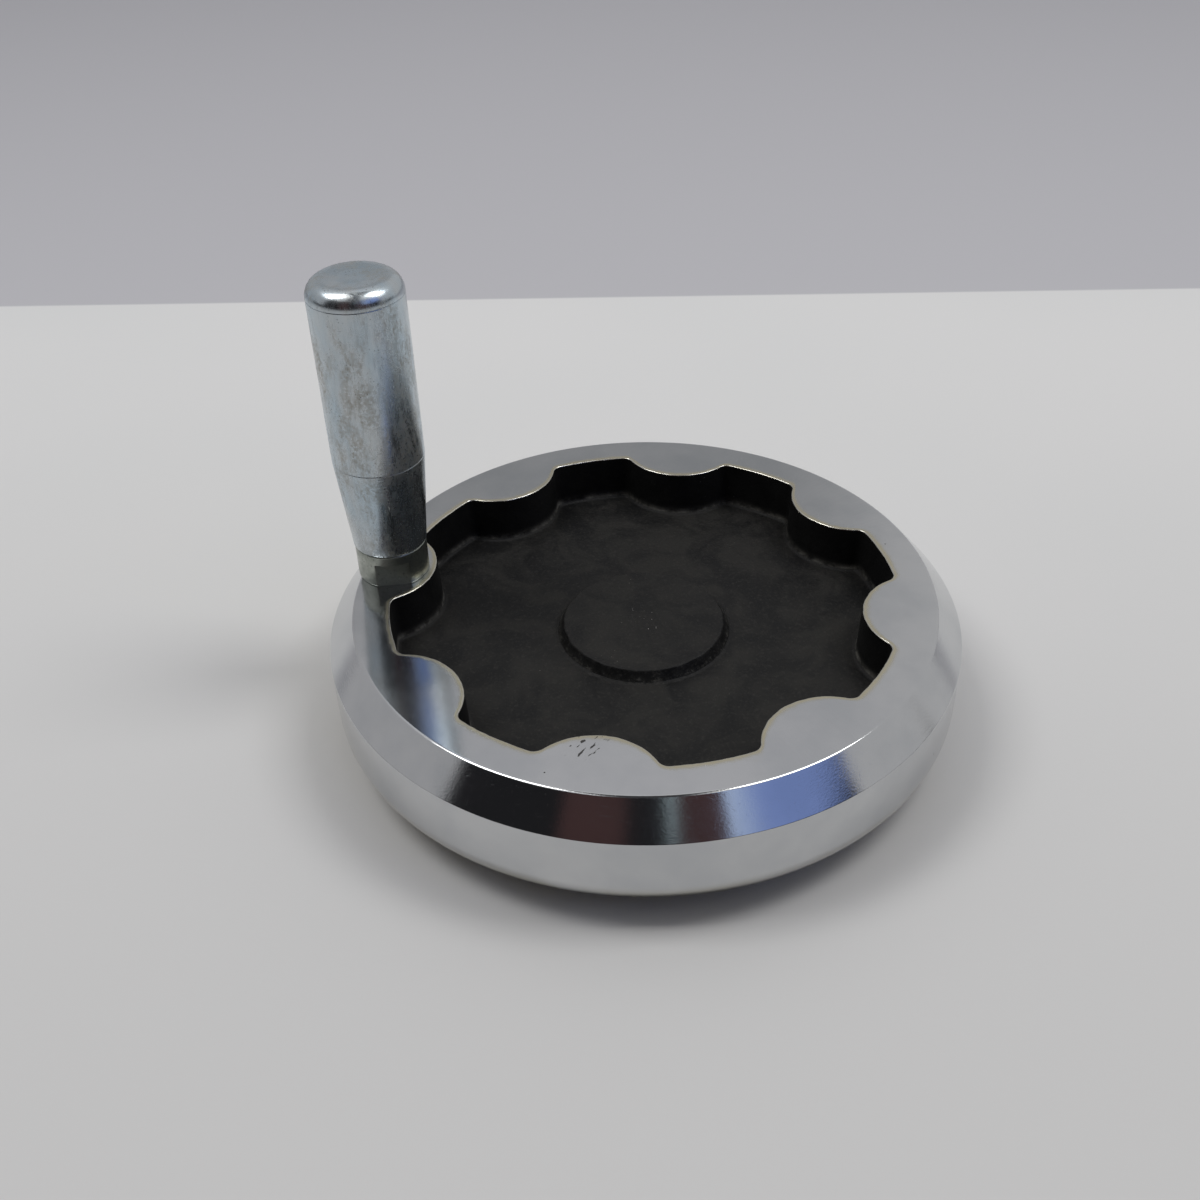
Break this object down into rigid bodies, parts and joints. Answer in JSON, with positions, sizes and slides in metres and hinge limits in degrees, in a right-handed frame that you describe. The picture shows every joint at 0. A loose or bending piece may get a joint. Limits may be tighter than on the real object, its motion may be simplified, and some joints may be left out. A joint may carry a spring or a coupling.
{
  "type": "handwheel with revolving handle",
  "caption": "Chromed cast-iron handwheel with a scalloped black finger pocket, a keyed hub bore behind it and a revolving steel handle.",
  "frame": {"origin": "on the hub's axis, at the hub's back face, which is the lowest face of the part", "axes": "+Z along the hub's axis from its back face to the front of the wheel and the handle; the handle stands on the lobe that faces -X; the keyway faces +Y"},
  "size_m": [0.16, 0.16, 0.1161],
  "materials": {
    "chrome_rim": "bright chromium plate on turned cast iron, fine scratches",
    "black_paint": "semi-matt black paint on a sand-cast face",
    "zinc_steel": "turned steel, bright zinc plated, with stains",
    "collar_steel": "turned and milled steel, zinc plated",
    "black_steel": "black oxide, lightly oiled"
  },
  "bodies": {
    "wheel": {"wheel_rim": "chrome_rim", "wheel_web": "black_paint", "wheel_hub": "black_paint", "hub_set_screws": "black_steel", "handle_spindle": "collar_steel", "spindle_snap_ring": "black_steel"},
    "grip": {"handle_grip": "zinc_steel"}
  },
  "joints": [
    {"name": "grip_spin", "type": "hinge", "parent": "wheel", "child": "grip", "pos_m": [-0.0659, 0, 0.045], "axis": [0, 0, 1], "continuous": true}
  ]
}
